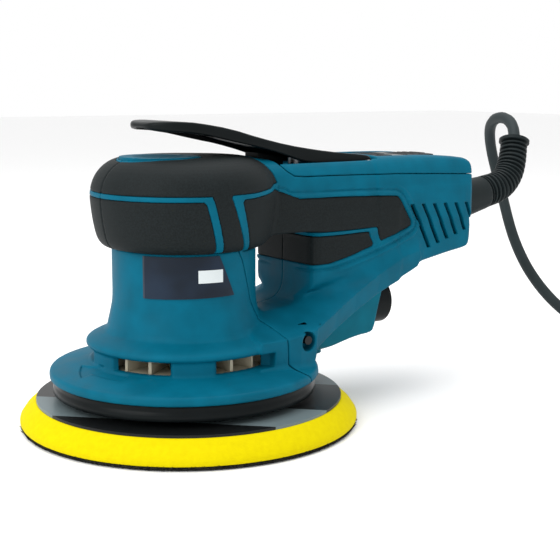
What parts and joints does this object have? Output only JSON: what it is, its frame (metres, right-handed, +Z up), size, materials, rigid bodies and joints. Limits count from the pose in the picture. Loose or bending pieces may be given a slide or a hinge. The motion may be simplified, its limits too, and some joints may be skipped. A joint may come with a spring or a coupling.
{
  "type": "orbital sander",
  "caption": "Corded random orbital sander with round foam pad, upright motor nose, loop handle with paddle lever, rear dust outlet and trailing mains cord.",
  "frame": {"origin": "on the drive shaft's axis at the lower face of the pad, so the tool stands on z = 0", "axes": "+X towards the rear of the handle and the cord, +Z up along the drive shaft, +Y to the tool's right"},
  "size_m": [0.4975, 0.151, 0.1341],
  "materials": {
    "blue_plastic": "fine spark-eroded texture, satin",
    "duct_plastic": "fine texture, satin",
    "grip_rubber": "grained soft overmould",
    "label": "blank glossy film",
    "black_plastic": "fine texture",
    "soft_black": "semi-matt moulded rubber",
    "alloy": "machined casting",
    "steel": "ground",
    "lamination": "stacked laminations",
    "copper": "enamelled wire",
    "circuit_board": "solder mask",
    "panel_grey": "satin film",
    "button_rubber": "moulded, matt",
    "screw_black": "blacked steel",
    "fan_plastic": "natural nylon",
    "pad_disc": "printed fibre disc",
    "pad_foam": "fine-celled moulded foam",
    "hook_fabric": "hook fastener",
    "cable": "matt rubber sheath",
    "pin_metal": "nickel plated"
  },
  "bodies": {
    "housing": {"motor_housing": "blue_plastic", "left_shell": "blue_plastic", "right_shell": "blue_plastic", "nose_grip_top": "grip_rubber", "nose_grip_front": "grip_rubber", "handle_grip_left": "grip_rubber", "handle_grip_right": "grip_rubber", "pillar_grip_left": "grip_rubber", "pillar_grip_right": "grip_rubber", "nose_cap": "blue_plastic", "name_plate": "label", "shroud_ring": "black_plastic", "bearing_plate": "alloy", "lower_bearing": "steel", "stator": "lamination", "windings": "copper", "upper_bridge": "black_plastic", "upper_bearing": "steel", "controller_board": "circuit_board", "capacitor": "alloy", "micro_switch": "black_plastic", "top_cover": "blue_plastic", "control_panel": "panel_grey", "switch_block": "black_plastic", "lever_pin": "steel", "lever_spring": "steel", "dust_duct": "duct_plastic", "dust_outlet": "black_plastic", "housing_screws": "screw_black", "relief_collar": "soft_black", "strain_relief": "soft_black", "cord": "cable", "cord_coil": "cable", "cord_tail": "cable", "plug": "black_plastic", "plug_pins": "pin_metal"},
    "rotor": {"drive_shaft": "steel", "rotor_core": "lamination", "dust_fan": "fan_plastic", "eccentric": "steel", "counterweight": "alloy"},
    "pad": {"pad_bearing": "steel", "pad_hub": "black_plastic", "pad_plate": "pad_disc", "pad_foam": "pad_foam", "hook_face": "hook_fabric"},
    "lever": {"lever": "black_plastic"},
    "speed_up": {"speed_up": "button_rubber"},
    "speed_down": {"speed_down": "button_rubber"}
  },
  "joints": [
    {"name": "rotor_spin", "type": "hinge", "parent": "housing", "child": "rotor", "pos_m": [0, 0, 0.05], "axis": [0, 0, 1], "continuous": true},
    {"name": "pad_spin", "type": "hinge", "parent": "rotor", "child": "pad", "pos_m": [0.0025, 0, 0.006], "axis": [0, 0, 1], "continuous": true},
    {"name": "lever_press", "type": "hinge", "parent": "housing", "child": "lever", "pos_m": [0.088, 0, 0.1128], "axis": [0, -1, 0], "range_deg": [0, 3], "stiffness_Nm_per_rad": 2, "springref_deg": -5.73, "deforming": ["lever_spring"]},
    {"name": "speed_up_press", "type": "slide", "parent": "housing", "child": "speed_up", "axis": [0, 0, -1], "range_m": [0, 0.0008], "stiffness_N_per_m": 400, "springref_m": -0.002},
    {"name": "speed_down_press", "type": "slide", "parent": "housing", "child": "speed_down", "axis": [0, 0, -1], "range_m": [0, 0.0008], "stiffness_N_per_m": 400, "springref_m": -0.002}
  ]
}
